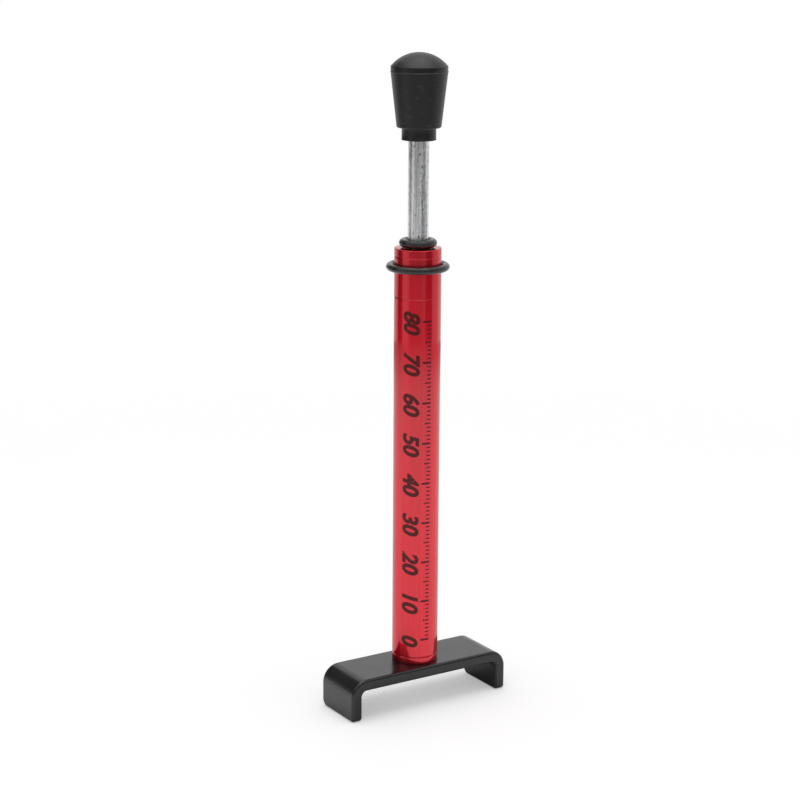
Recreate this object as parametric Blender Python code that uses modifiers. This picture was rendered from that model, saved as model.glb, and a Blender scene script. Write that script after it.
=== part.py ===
"""Belt tension gauge: a sprung plunger in a barrel that stands on a belt cradle.

Metres, +Z up. The origin lies on the barrel's axis, level with the cradle's feet, and
the cradle's length runs along X. Each piece is modelled from its own lower end and then
lifted to its seat, so the whole stack follows the sizes below.
"""

import math

import bmesh
import bpy

MM = 0.001

# Fits shared by all pieces
SEAT_GAP = 0.2 * MM
RUNNING_GAP = 0.15 * MM
CUT_OVERRUN = 1.0 * MM
MERGE_DISTANCE = 0.001 * MM

# Facets round a turned piece, round its small corners and round an O-ring's section
ROUND_STEPS = 40
CORNER_STEPS = 4
RING_SECTION_STEPS = 12
SHARP_ANGLE = math.radians(35)

# Belt cradle, a strip of sheet bent into a U
CRADLE_LENGTH = 45.0 * MM
CRADLE_DEPTH = 14.6 * MM
CRADLE_HEIGHT = 10.4 * MM
SHEET_THICKNESS = 2.9 * MM
INNER_BEND_RADIUS = 1.4 * MM
FRONT_CORNER_RADIUS = 0.6 * MM
BACK_CORNER_RADIUS = 1.8 * MM
SHEET_EDGE_ROUND = 0.3 * MM
BEND_STEPS = 8

# Countersunk screw from the cradle's underside into the plug
SCREW_DIAMETER = 4.0 * MM
SCREW_HEAD_DIAMETER = 7.5 * MM
SCREW_ENGAGEMENT = 6.0 * MM
SCREW_TIP_CHAMFER = 0.5 * MM
HEX_SOCKET_WIDTH = 2.5 * MM
HEX_SOCKET_DEPTH = 1.4 * MM

# Barrel and the plug in its lower end
BARREL_DIAMETER = 11.35 * MM
BARREL_WALL = 1.2 * MM
BARREL_LENGTH = 90.0 * MM
BARREL_EDGE_CHAMFER = 0.1 * MM
PLUG_COLLAR_HEIGHT = 1.5 * MM
PLUG_SPIGOT_LENGTH = 8.0 * MM

# Slotted screw in the barrel that carries the spring and sets its preload
CALIBRATION_TRAVEL = 7.4 * MM
CALIBRATION_SCREW_LENGTH = 4.5 * MM
CALIBRATION_SLOT_WIDTH = 1.2 * MM
CALIBRATION_SLOT_DEPTH = 1.5 * MM

# Compression spring. Its index is the coil's mean diameter over the wire's diameter.
SPRING_INDEX = 8.28
SPRING_SIDE_CLEARANCE = 0.3 * MM
SPRING_TURNS = 20
SPRING_END_TURNS = 1
SPRING_END_TURN_GAP = 0.45 * MM
SPRING_POINTS_PER_TURN = 10

# Piston on the rod's lower end, between the rod's shoulder and the clip
FOLLOWER_HEAD_LENGTH = 4.0 * MM
FOLLOWER_SPIGOT_LENGTH = 3.0 * MM

# Cap in the barrel's upper end and the bush that guides the rod
CAP_COLLAR_LENGTH = 11.5 * MM
CAP_SPIGOT_LENGTH = 6.0 * MM
CAP_RIM_CHAMFER = 0.4 * MM
CAP_LINE_DROP = 2.0 * MM
CAP_LINE_WIDTH = 0.3 * MM
CAP_LINE_DEPTH = 0.1 * MM
BUSH_WALL = 0.6 * MM
BUSH_LENGTH = 8.0 * MM

# Rod and its retaining clip. The rod takes a share of the barrel, its shank one of the follower's boss.
ROD_SHARE = 0.4405
ROD_EXPOSED_LENGTH = 25.6 * MM
ROD_SHANK_SHARE = 0.538
ROD_TAIL_LENGTH = 1.2 * MM
CLIP_THICKNESS = 0.6 * MM
CLIP_GROOVE_DEPTH = 0.45 * MM
CLIP_MOUTH_WIDTH = 1.6 * MM

# O-rings
FORCE_RING_SECTION = 1.93 * MM
DEFLECTION_RING_SECTION = 1.75 * MM
DEFLECTION_RING_SLACK = 0.225 * MM
DEFLECTION_RING_DROP = 4.6 * MM

# Knob and its threaded insert
KNOB_HEIGHT = 20.4 * MM
KNOB_DIAMETER = 13.8 * MM
KNOB_FOOT_DIAMETER = 10.56 * MM
KNOB_FOOT_CHAMFER = 0.3 * MM
KNOB_DOME_HEIGHT = 2.9 * MM
KNOB_RIM_HEIGHT = 1.6 * MM
KNOB_RIM_ROUND = 0.6 * MM
PARTING_RIDGE_HEIGHT = 0.15 * MM
NECK_WALL = 0.975 * MM
NECK_HEIGHT = 2.9 * MM
NECK_FLARE = 0.08 * MM
STUD_DIAMETER = 4.0 * MM
STUD_LENGTH = 8.8 * MM
STUD_TIP_CHAMFER = 0.5 * MM
INSERT_WALL = 0.7 * MM
INSERT_LENGTH = 10.0 * MM

# Diameter and radii that follow from the sizes above
ROD_DIAMETER = BARREL_DIAMETER * ROD_SHARE
BORE_RADIUS = BARREL_DIAMETER / 2 - BARREL_WALL
SPIGOT_RADIUS = BORE_RADIUS - SEAT_GAP
SPRING_OUTER_RADIUS = BORE_RADIUS - SPRING_SIDE_CLEARANCE
SPRING_WIRE = 2 * SPRING_OUTER_RADIUS / (SPRING_INDEX + 1)
SPRING_INNER_RADIUS = SPRING_OUTER_RADIUS - SPRING_WIRE
SPRING_BOSS_RADIUS = SPRING_INNER_RADIUS - SPRING_SIDE_CLEARANCE
ROD_SHANK_RADIUS = SPRING_BOSS_RADIUS * ROD_SHANK_SHARE
BUSH_INNER_RADIUS = ROD_DIAMETER / 2 + RUNNING_GAP
BUSH_OUTER_RADIUS = BUSH_INNER_RADIUS + BUSH_WALL
INSERT_OUTER_RADIUS = STUD_DIAMETER / 2 + SEAT_GAP + INSERT_WALL
KNOB_BORE_RADIUS = INSERT_OUTER_RADIUS + SEAT_GAP
NECK_RADIUS = KNOB_BORE_RADIUS + NECK_WALL

# Heights of the stack, from the feet up
SHEET_UNDERSIDE_Z = CRADLE_HEIGHT - SHEET_THICKNESS
PLUG_Z = CRADLE_HEIGHT + SEAT_GAP
BARREL_Z = PLUG_Z + PLUG_COLLAR_HEIGHT + SEAT_GAP
BARREL_TOP_Z = BARREL_Z + BARREL_LENGTH
CAP_COLLAR_Z = BARREL_TOP_Z + SEAT_GAP
CAP_Z = CAP_COLLAR_Z - CAP_SPIGOT_LENGTH
CAP_TOP_Z = CAP_COLLAR_Z + CAP_COLLAR_LENGTH
FOLLOWER_TOP_Z = CAP_Z - SEAT_GAP
FOLLOWER_Z = FOLLOWER_TOP_Z - FOLLOWER_HEAD_LENGTH - FOLLOWER_SPIGOT_LENGTH
CLIP_Z = FOLLOWER_Z - SEAT_GAP - CLIP_THICKNESS
ROD_Z = CLIP_Z - SEAT_GAP - ROD_TAIL_LENGTH
ROD_SHOULDER_Z = FOLLOWER_TOP_Z + SEAT_GAP
CALIBRATION_SCREW_Z = PLUG_Z + PLUG_COLLAR_HEIGHT + PLUG_SPIGOT_LENGTH + CALIBRATION_TRAVEL
SPRING_Z = CALIBRATION_SCREW_Z + CALIBRATION_SCREW_LENGTH + SEAT_GAP
SPRING_TOP_Z = FOLLOWER_TOP_Z - FOLLOWER_HEAD_LENGTH - SEAT_GAP
KNOB_Z = CAP_TOP_Z + ROD_EXPOSED_LENGTH
INSERT_Z = KNOB_Z + SEAT_GAP


def clear_scene():
    """Remove whatever the open file holds."""
    for obj in list(bpy.data.objects):
        bpy.data.objects.remove(obj, do_unlink=True)


def new_collection(name):
    """Make a collection and link it to the scene."""
    collection = bpy.data.collections.new(name)
    bpy.context.scene.collection.children.link(collection)
    return collection


def new_material(name, color, roughness, metallic=0.0):
    """Make a Principled material of one colour."""
    material = bpy.data.materials.new(name)
    material.use_nodes = True
    shader = material.node_tree.nodes["Principled BSDF"]
    shader.inputs["Base Color"].default_value = (*color, 1.0)
    shader.inputs["Roughness"].default_value = roughness
    shader.inputs["Metallic"].default_value = metallic
    material.diffuse_color = (*color, 1.0)
    return material


def add_object(name, data, collection, z=0.0, material=None):
    """Put new object data in a collection, with its origin on the barrel's axis."""
    obj = bpy.data.objects.new(name, data)
    obj.location.z = z
    if material is not None:
        data.materials.append(material)
    collection.objects.link(obj)
    return obj


def arc(centre, radius, start, end, steps):
    """Points on an arc in the profile's plane, from angle start to angle end in degrees."""
    points = []
    for step in range(steps + 1):
        angle = math.radians(start + (end - start) * step / steps)
        points.append((centre[0] + radius * math.cos(angle), centre[1] + radius * math.sin(angle)))
    return points


def turned(name, profile, collection, z=0.0, material=None, is_ring=False):
    """Turn a profile of (radius, height) points round Z.

    The profile runs down the outer side. A solid's profile starts and ends on the axis,
    and a ring's profile is joined up by its last edge.
    """
    edges = [(index, index + 1) for index in range(len(profile) - 1)]
    if is_ring:
        edges.append((len(profile) - 1, 0))
    mesh = bpy.data.meshes.new(name)
    mesh.from_pydata([(radius, 0.0, height) for radius, height in profile], edges, [])
    obj = add_object(name, mesh, collection, z, material)
    screw = obj.modifiers.new("turn", "SCREW")
    screw.axis = "Z"
    screw.steps = ROUND_STEPS
    screw.render_steps = ROUND_STEPS
    screw.use_merge_vertices = True
    screw.merge_threshold = MERGE_DISTANCE
    return obj


def cut(obj, cutter):
    """Cut a hole in an object with another object."""
    cutter.hide_render = True
    cutter.display_type = "WIRE"
    boolean = obj.modifiers.new("cut " + cutter.name, "BOOLEAN")
    boolean.operation = "DIFFERENCE"
    boolean.solver = "EXACT"
    boolean.object = cutter


def box_cutter(name, size, centre, collection):
    """A box that cuts, given its size and its centre."""
    mesh = bpy.data.meshes.new(name)
    shape = bmesh.new()
    bmesh.ops.create_cube(shape, size=1.0)
    bmesh.ops.scale(shape, vec=size, verts=shape.verts)
    shape.to_mesh(mesh)
    shape.free()
    cutter = add_object(name, mesh, collection)
    cutter.location = centre
    return cutter


def belt_cradle(parts, cutters, material):
    """Sheet bent over the belt: an open surface along its outside, thickened inwards."""
    outer_radius = INNER_BEND_RADIUS + SHEET_THICKNESS
    bend_x = CRADLE_LENGTH / 2 - outer_radius
    bend_z = CRADLE_HEIGHT - outer_radius
    path = [(-CRADLE_LENGTH / 2, 0.0)]
    path += arc((-bend_x, bend_z), outer_radius, 180, 90, BEND_STEPS)
    path += arc((bend_x, bend_z), outer_radius, 90, 0, BEND_STEPS)
    path.append((CRADLE_LENGTH / 2, 0.0))

    shape = bmesh.new()
    front = [shape.verts.new((x, -CRADLE_DEPTH / 2, z)) for x, z in path]
    edges = [shape.edges.new(pair) for pair in zip(front, front[1:])]
    swept = bmesh.ops.extrude_edge_only(shape, edges=edges)["geom"]
    back = [item for item in swept if isinstance(item, bmesh.types.BMVert)]
    bmesh.ops.translate(shape, vec=(0.0, CRADLE_DEPTH, 0.0), verts=back)
    back_corners = [vert for vert in back if vert.co.z == 0.0]
    for corners, radius in (([front[0], front[-1]], FRONT_CORNER_RADIUS), (back_corners, BACK_CORNER_RADIUS)):
        bmesh.ops.bevel(
            shape,
            geom=corners,
            offset=radius,
            offset_type="OFFSET",
            segments=CORNER_STEPS,
            profile=0.5,
            affect="VERTICES",
        )
    mesh = bpy.data.meshes.new("belt_cradle")
    shape.to_mesh(mesh)
    shape.free()
    cradle = add_object("belt_cradle", mesh, parts, material=material)

    thicken = cradle.modifiers.new("thicken", "SOLIDIFY")
    thicken.thickness = SHEET_THICKNESS
    thicken.offset = 1.0
    thicken.use_even_offset = True
    rounded = cradle.modifiers.new("round edges", "BEVEL")
    rounded.width = SHEET_EDGE_ROUND
    rounded.segments = 2
    rounded.limit_method = "ANGLE"
    rounded.angle_limit = math.radians(60)

    # The hole is the screw's own outline, one gap wider all round
    head_radius = SCREW_HEAD_DIAMETER / 2 + SEAT_GAP
    shank_radius = SCREW_DIAMETER / 2 + SEAT_GAP
    hole = [
        (0.0, SHEET_THICKNESS + CUT_OVERRUN),
        (shank_radius, SHEET_THICKNESS + CUT_OVERRUN),
        (shank_radius, SEAT_GAP + head_radius - shank_radius),
        (head_radius, SEAT_GAP),
        (head_radius + SEAT_GAP, 0.0),
        (head_radius + SEAT_GAP, -CUT_OVERRUN),
        (0.0, -CUT_OVERRUN),
    ]
    cut(cradle, turned("cradle_hole", hole, cutters, SHEET_UNDERSIDE_Z))


def cradle_screw(parts, cutters, material):
    """Countersunk screw, its head just inside the cradle's underside."""
    head_radius = SCREW_HEAD_DIAMETER / 2
    shank_radius = SCREW_DIAMETER / 2
    head_z = SHEET_UNDERSIDE_Z + SEAT_GAP
    length = PLUG_Z + SCREW_ENGAGEMENT - head_z
    profile = [
        (0.0, length),
        (shank_radius - SCREW_TIP_CHAMFER, length),
        (shank_radius, length - SCREW_TIP_CHAMFER),
        (shank_radius, head_radius - shank_radius),
        (head_radius, 0.0),
        (0.0, 0.0),
    ]
    screw = turned("cradle_screw", profile, parts, head_z, material)

    mesh = bpy.data.meshes.new("hex_socket")
    shape = bmesh.new()
    corner_radius = HEX_SOCKET_WIDTH / math.sqrt(3)
    bmesh.ops.create_cone(
        shape,
        cap_ends=True,
        segments=6,
        radius1=corner_radius,
        radius2=corner_radius,
        depth=2 * HEX_SOCKET_DEPTH,
    )
    shape.to_mesh(mesh)
    shape.free()
    cut(screw, add_object("hex_socket", mesh, cutters, head_z))


def bottom_plug(parts, material):
    """Plug in the barrel's lower end, with a blind hole for the screw."""
    hole_radius = SCREW_DIAMETER / 2 + SEAT_GAP
    hole_depth = SCREW_ENGAGEMENT + SEAT_GAP
    collar_radius = BARREL_DIAMETER / 2
    top = PLUG_COLLAR_HEIGHT + PLUG_SPIGOT_LENGTH
    profile = [
        (0.0, top),
        (SPIGOT_RADIUS, top),
        (SPIGOT_RADIUS, PLUG_COLLAR_HEIGHT),
        (collar_radius, PLUG_COLLAR_HEIGHT),
        (collar_radius, BARREL_EDGE_CHAMFER),
        (collar_radius - BARREL_EDGE_CHAMFER, 0.0),
        (hole_radius, 0.0),
        (hole_radius, hole_depth),
        (0.0, hole_depth),
    ]
    turned("bottom_plug", profile, parts, PLUG_Z, material)


def barrel(parts, material):
    """Plain tube with its outer edges broken."""
    radius = BARREL_DIAMETER / 2
    profile = [
        (radius - BARREL_EDGE_CHAMFER, BARREL_LENGTH),
        (radius, BARREL_LENGTH - BARREL_EDGE_CHAMFER),
        (radius, BARREL_EDGE_CHAMFER),
        (radius - BARREL_EDGE_CHAMFER, 0.0),
        (BORE_RADIUS, 0.0),
        (BORE_RADIUS, BARREL_LENGTH),
    ]
    turned("barrel", profile, parts, BARREL_Z, material, is_ring=True)


def calibration_screw(parts, cutters, material):
    """Grub screw in the barrel: the spring stands round the boss on its top."""
    boss_height = SPRING_WIRE
    profile = [
        (0.0, CALIBRATION_SCREW_LENGTH + boss_height),
        (SPRING_BOSS_RADIUS, CALIBRATION_SCREW_LENGTH + boss_height),
        (SPRING_BOSS_RADIUS, CALIBRATION_SCREW_LENGTH),
        (SPIGOT_RADIUS, CALIBRATION_SCREW_LENGTH),
        (SPIGOT_RADIUS, 0.0),
        (0.0, 0.0),
    ]
    screw = turned("calibration_screw", profile, parts, CALIBRATION_SCREW_Z, material)
    slot_size = (2 * SPIGOT_RADIUS + CUT_OVERRUN, CALIBRATION_SLOT_WIDTH, 2 * CALIBRATION_SLOT_DEPTH)
    slot_centre = (0.0, 0.0, CALIBRATION_SCREW_Z)
    cut(screw, box_cutter("calibration_slot", slot_size, slot_centre, cutters))


def spring_height(turn, length):
    """Height of the wire's centre after some turns: the end turns lie closer together."""
    end_pitch = SPRING_WIRE + SPRING_END_TURN_GAP
    end_rise = SPRING_END_TURNS * end_pitch
    open_turns = SPRING_TURNS - 2 * SPRING_END_TURNS
    open_rise = length - SPRING_WIRE - 2 * end_rise
    open_turn = min(max(turn - SPRING_END_TURNS, 0.0), open_turns)
    return SPRING_WIRE / 2 + end_pitch * (turn - open_turn) + open_rise * open_turn / open_turns


def spring(parts, material):
    """Round wire wound as a helix between the calibration screw and the follower."""
    length = SPRING_TOP_Z - SPRING_Z
    wire_radius = SPRING_WIRE / 2
    coil_radius = SPRING_OUTER_RADIUS - wire_radius
    curve = bpy.data.curves.new("spring", "CURVE")
    curve.dimensions = "3D"
    curve.bevel_depth = wire_radius
    curve.bevel_resolution = 1
    curve.use_fill_caps = True
    line = curve.splines.new("POLY")
    steps = SPRING_TURNS * SPRING_POINTS_PER_TURN
    line.points.add(steps)
    for step in range(steps + 1):
        turn = step / SPRING_POINTS_PER_TURN
        angle = 2 * math.pi * turn
        height = spring_height(turn, length)
        line.points[step].co = (coil_radius * math.cos(angle), coil_radius * math.sin(angle), height, 1.0)
    add_object("spring", curve, parts, SPRING_Z, material)


def spring_follower(parts, material):
    """Piston on the rod's shank: its head slides in the barrel, its boss centres the spring."""
    hole_radius = ROD_SHANK_RADIUS + RUNNING_GAP
    head_radius = BORE_RADIUS - RUNNING_GAP
    length = FOLLOWER_SPIGOT_LENGTH + FOLLOWER_HEAD_LENGTH
    profile = [
        (head_radius, length),
        (head_radius, FOLLOWER_SPIGOT_LENGTH),
        (SPRING_BOSS_RADIUS, FOLLOWER_SPIGOT_LENGTH),
        (SPRING_BOSS_RADIUS, 0.0),
        (hole_radius, 0.0),
        (hole_radius, length),
    ]
    turned("spring_follower", profile, parts, FOLLOWER_Z, material, is_ring=True)


def retaining_clip(parts, cutters, material):
    """Open ring in the rod's groove, under the follower."""
    inner_radius = ROD_SHANK_RADIUS - CLIP_GROOVE_DEPTH + RUNNING_GAP
    profile = [
        (SPRING_BOSS_RADIUS, CLIP_THICKNESS),
        (SPRING_BOSS_RADIUS, 0.0),
        (inner_radius, 0.0),
        (inner_radius, CLIP_THICKNESS),
    ]
    clip = turned("retaining_clip", profile, parts, CLIP_Z, material, is_ring=True)
    mouth_length = SPRING_BOSS_RADIUS + CUT_OVERRUN
    mouth_size = (mouth_length, CLIP_MOUTH_WIDTH, CLIP_THICKNESS + 2 * CUT_OVERRUN)
    mouth_centre = (mouth_length / 2, 0.0, CLIP_Z + CLIP_THICKNESS / 2)
    cut(clip, box_cutter("clip_mouth", mouth_size, mouth_centre, cutters))


def barrel_cap(parts, material):
    """Cap screwed into the barrel, with a turned line round it and a bore for rod and bush."""
    collar_radius = BARREL_DIAMETER / 2
    seat_radius = BUSH_OUTER_RADIUS + SEAT_GAP
    length = CAP_SPIGOT_LENGTH + CAP_COLLAR_LENGTH
    seat_height = length - BUSH_LENGTH - SEAT_GAP
    line_height = length - CAP_LINE_DROP
    profile = [
        (collar_radius - CAP_RIM_CHAMFER, length),
        (collar_radius, length - CAP_RIM_CHAMFER),
        (collar_radius, line_height + CAP_LINE_WIDTH / 2),
        (collar_radius - CAP_LINE_DEPTH, line_height),
        (collar_radius, line_height - CAP_LINE_WIDTH / 2),
        (collar_radius, CAP_SPIGOT_LENGTH + BARREL_EDGE_CHAMFER),
        (collar_radius - BARREL_EDGE_CHAMFER, CAP_SPIGOT_LENGTH),
        (SPIGOT_RADIUS, CAP_SPIGOT_LENGTH),
        (SPIGOT_RADIUS, 0.0),
        (BUSH_INNER_RADIUS, 0.0),
        (BUSH_INNER_RADIUS, seat_height),
        (seat_radius, seat_height),
        (seat_radius, length),
    ]
    turned("barrel_cap", profile, parts, CAP_Z, material, is_ring=True)


def guide_bush(parts, material):
    """Sleeve that guides the rod, flush with the cap's top."""
    profile = [
        (BUSH_OUTER_RADIUS, BUSH_LENGTH),
        (BUSH_OUTER_RADIUS, 0.0),
        (BUSH_INNER_RADIUS, 0.0),
        (BUSH_INNER_RADIUS, BUSH_LENGTH),
    ]
    turned("guide_bush", profile, parts, CAP_TOP_Z - BUSH_LENGTH, material, is_ring=True)


def plunger_rod(parts, material):
    """Rod with a threaded stud for the knob and a grooved shank for the follower."""
    radius = ROD_DIAMETER / 2
    stud_radius = STUD_DIAMETER / 2
    groove_radius = ROD_SHANK_RADIUS - CLIP_GROOVE_DEPTH
    groove_top = FOLLOWER_Z - ROD_Z
    stud_base = KNOB_Z - ROD_Z
    top = stud_base + STUD_LENGTH
    profile = [
        (0.0, top),
        (stud_radius - STUD_TIP_CHAMFER, top),
        (stud_radius, top - STUD_TIP_CHAMFER),
        (stud_radius, stud_base),
        (radius, stud_base),
        (radius, ROD_SHOULDER_Z - ROD_Z),
        (ROD_SHANK_RADIUS, ROD_SHOULDER_Z - ROD_Z),
        (ROD_SHANK_RADIUS, groove_top),
        (groove_radius, groove_top),
        (groove_radius, ROD_TAIL_LENGTH),
        (ROD_SHANK_RADIUS, ROD_TAIL_LENGTH),
        (ROD_SHANK_RADIUS, 0.0),
        (0.0, 0.0),
    ]
    turned("plunger_rod", profile, parts, ROD_Z, material)


def o_ring(name, inner_radius, section, z, parts, material):
    """Rubber ring with a round section, centred at height z."""
    major_radius = inner_radius + section / 2
    bpy.ops.mesh.primitive_torus_add(
        major_segments=ROUND_STEPS,
        minor_segments=RING_SECTION_STEPS,
        major_radius=major_radius,
        minor_radius=section / 2,
        location=(0.0, 0.0, z),
    )
    ring = bpy.context.active_object
    ring.name = name
    ring.data.name = name
    ring.data.materials.append(material)
    for collection in list(ring.users_collection):
        collection.objects.unlink(ring)
    parts.objects.link(ring)


def knob(parts, material):
    """Moulded knob: domed top, parting ridge, tapered side, neck and a blind bore."""
    ridge_radius = KNOB_DIAMETER / 2
    side_radius = ridge_radius - PARTING_RIDGE_HEIGHT
    foot_radius = KNOB_FOOT_DIAMETER / 2
    bore_depth = SEAT_GAP + INSERT_LENGTH + SEAT_GAP
    dome_foot = KNOB_HEIGHT - KNOB_DOME_HEIGHT
    ridge_z = dome_foot - KNOB_RIM_HEIGHT

    # The dome is a cap of a sphere: its foot circle lies just inside the rim, its top on the axis
    dome_edge = side_radius - KNOB_RIM_ROUND / 2
    dome_radius = (dome_edge**2 + KNOB_DOME_HEIGHT**2) / (2 * KNOB_DOME_HEIGHT)
    dome_end = 90 - math.degrees(math.asin(dome_edge / dome_radius))
    profile = arc((0.0, KNOB_HEIGHT - dome_radius), dome_radius, 90, dome_end, 2 * CORNER_STEPS)
    profile[0] = (0.0, KNOB_HEIGHT)
    profile += [
        (side_radius, dome_foot - KNOB_RIM_ROUND / 2),
        (side_radius, ridge_z + PARTING_RIDGE_HEIGHT),
        (ridge_radius, ridge_z),
        (side_radius, ridge_z - PARTING_RIDGE_HEIGHT),
        (foot_radius, NECK_HEIGHT + KNOB_FOOT_CHAMFER),
        (foot_radius - KNOB_FOOT_CHAMFER, NECK_HEIGHT),
        (NECK_RADIUS, NECK_HEIGHT),
        (NECK_RADIUS, 2 * NECK_FLARE),
        (NECK_RADIUS + NECK_FLARE, NECK_FLARE),
        (NECK_RADIUS, 0.0),
        (KNOB_BORE_RADIUS, 0.0),
        (KNOB_BORE_RADIUS, bore_depth),
        (0.0, bore_depth),
    ]
    turned("knob", profile, parts, KNOB_Z, material)


def knob_insert(parts, material):
    """Threaded sleeve in the knob's bore, seated on the rod's upper shoulder."""
    inner_radius = STUD_DIAMETER / 2 + SEAT_GAP
    profile = [
        (INSERT_OUTER_RADIUS, INSERT_LENGTH),
        (INSERT_OUTER_RADIUS, 0.0),
        (inner_radius, 0.0),
        (inner_radius, INSERT_LENGTH),
    ]
    turned("knob_insert", profile, parts, INSERT_Z, material, is_ring=True)


def finish_meshes(parts):
    """Keep each piece's evaluated mesh, smooth on its round faces and sharp at its corners."""
    depsgraph = bpy.context.evaluated_depsgraph_get()
    for obj in parts.objects:
        if obj.type != "MESH":
            continue
        mesh = bpy.data.meshes.new_from_object(obj.evaluated_get(depsgraph))
        mesh.name = obj.name
        mesh.shade_smooth()
        mesh.set_sharp_from_angle(angle=SHARP_ANGLE)
        obj.modifiers.clear()
        obj.data = mesh


def main():
    clear_scene()
    parts = new_collection("belt_tension_gauge")
    cutters = new_collection("cutters")

    black_paint = new_material("black_paint", (0.028, 0.028, 0.03), 0.32)
    red_anodising = new_material("red_anodising", (0.45, 0.012, 0.025), 0.3, 0.8)
    zinc_plate = new_material("zinc_plate", (0.55, 0.56, 0.57), 0.38, 1.0)
    spring_steel = new_material("spring_steel", (0.35, 0.35, 0.36), 0.35, 1.0)
    brass = new_material("brass", (0.62, 0.45, 0.17), 0.35, 1.0)
    acetal = new_material("acetal", (0.75, 0.74, 0.7), 0.45)
    black_plastic = new_material("black_plastic", (0.022, 0.022, 0.024), 0.45)
    rubber = new_material("rubber", (0.02, 0.02, 0.02), 0.4)

    belt_cradle(parts, cutters, black_paint)
    cradle_screw(parts, cutters, zinc_plate)
    bottom_plug(parts, red_anodising)
    barrel(parts, red_anodising)
    calibration_screw(parts, cutters, brass)
    spring(parts, spring_steel)
    spring_follower(parts, acetal)
    retaining_clip(parts, cutters, spring_steel)
    barrel_cap(parts, red_anodising)
    guide_bush(parts, brass)
    plunger_rod(parts, zinc_plate)
    knob(parts, black_plastic)
    knob_insert(parts, brass)

    force_ring_inner = ROD_DIAMETER / 2 + RUNNING_GAP
    force_ring_z = CAP_TOP_Z + SEAT_GAP + FORCE_RING_SECTION / 2
    o_ring("force_o_ring", force_ring_inner, FORCE_RING_SECTION, force_ring_z, parts, rubber)
    deflection_ring_inner = BARREL_DIAMETER / 2 + DEFLECTION_RING_SLACK
    deflection_ring_z = CAP_TOP_Z - DEFLECTION_RING_DROP
    o_ring(
        "deflection_o_ring",
        deflection_ring_inner,
        DEFLECTION_RING_SECTION,
        deflection_ring_z,
        parts,
        rubber,
    )
    finish_meshes(parts)


main()
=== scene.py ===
"""Looks of a belt tension gauge: a knob on a sprung rod, a red barrel and a belt cradle.

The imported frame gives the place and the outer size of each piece. Every sub-assembly is a
class that models its pieces at those places, in metres, and then dresses them.
"""

import logging
import math
from collections.abc import Callable, Sequence
from dataclasses import asdict, dataclass
from enum import Enum
from typing import Any

import bmesh
import bpy
from mathutils import Matrix, Vector


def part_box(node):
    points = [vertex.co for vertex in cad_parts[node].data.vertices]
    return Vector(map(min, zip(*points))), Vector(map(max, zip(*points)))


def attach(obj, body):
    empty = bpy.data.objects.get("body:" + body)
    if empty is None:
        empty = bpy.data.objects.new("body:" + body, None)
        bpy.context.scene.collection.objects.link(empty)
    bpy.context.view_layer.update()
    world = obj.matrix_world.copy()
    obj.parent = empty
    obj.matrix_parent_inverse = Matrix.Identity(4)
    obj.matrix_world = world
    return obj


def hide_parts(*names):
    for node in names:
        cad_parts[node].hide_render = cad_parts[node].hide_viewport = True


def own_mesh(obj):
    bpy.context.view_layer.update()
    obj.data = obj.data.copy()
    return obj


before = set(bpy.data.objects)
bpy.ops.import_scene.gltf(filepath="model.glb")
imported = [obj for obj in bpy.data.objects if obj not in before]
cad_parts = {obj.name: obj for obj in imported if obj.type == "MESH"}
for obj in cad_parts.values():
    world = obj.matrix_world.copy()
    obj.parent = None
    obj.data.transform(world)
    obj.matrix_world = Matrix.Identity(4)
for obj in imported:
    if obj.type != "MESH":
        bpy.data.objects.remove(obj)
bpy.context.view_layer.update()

LOG = logging.getLogger("belt_tension_gauge")

MM = 0.001
MERGE_DISTANCE = 0.0005 * MM
SAME_PLACE = 0.002 * MM
ROUND_STEPS = 160
SMOOTH_ANGLE = math.radians(40)
SHARP_ANGLE = math.radians(60)
SPECK_REACH = 3.0
SPECK_EDGE = 0.12

Color = tuple[float, float, float]
Test = Callable[[list[Vector]], bool]


class Body(Enum):
    """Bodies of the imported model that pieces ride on."""

    BODY = "body"
    FOLLOWER = "follower"
    PLUNGER = "plunger"
    FORCE_RING = "force_ring"
    DEFLECTION_RING = "deflection_ring"


class Slot(Enum):
    """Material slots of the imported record."""

    BLACK_PAINT = "black_paint"
    RED_ANODISING = "red_anodising"
    ZINC_PLATE = "zinc_plate"
    SPRING_STEEL = "spring_steel"
    BRASS = "brass"
    ACETAL = "acetal"
    BLACK_PLASTIC = "black_plastic"
    RUBBER = "rubber"


class Element(Enum):
    """Kinds of mesh element that can be selected."""

    VERT = "VERT"
    EDGE = "EDGE"


@dataclass(frozen=True)
class Span:
    """Radius and heights of a turned node in the frame."""

    radius: float
    low: float
    high: float

    @classmethod
    def of(cls, node: str) -> "Span":
        """Read a turned node's radius and heights from the frame.

        Args:
            node: The node's name.

        Returns:
            The node's outer radius and its lower and upper height.
        """
        low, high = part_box(node)
        return cls((high.x - low.x) / 2, low.z, high.z)


@dataclass(frozen=True)
class Corner:
    """Corner of a turned outline. Ease is the width that is rounded or cut off it."""

    radius: float
    height: float
    ease: float = 0.0
    steps: int = 1


def arc(centre: Corner, radius: float, start: float, end: float, steps: int) -> list[Corner]:
    """Work out corners along an arc of a turned outline.

    Args:
        centre: The arc's centre.
        radius: The arc's radius.
        start: First angle in degrees, from the outward direction towards up.
        end: Last angle in degrees.
        steps: Number of steps between the two.

    Returns:
        The corners from start to end.
    """
    angles = [math.radians(start + (end - start) * step / steps) for step in range(steps + 1)]
    return [
        Corner(centre.radius + radius * math.cos(angle), centre.height + radius * math.sin(angle))
        for angle in angles
    ]


def ring_at(radius: float, height: float) -> Test:
    """Make a test for elements on a ring round the axis.

    Args:
        radius: The ring's radius.
        height: The ring's height.

    Returns:
        A test that is true where all points lie on the ring.
    """
    return lambda points: all(
        abs(math.hypot(point.x, point.y) - radius) < SAME_PLACE and abs(point.z - height) < SAME_PLACE
        for point in points
    )


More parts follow.
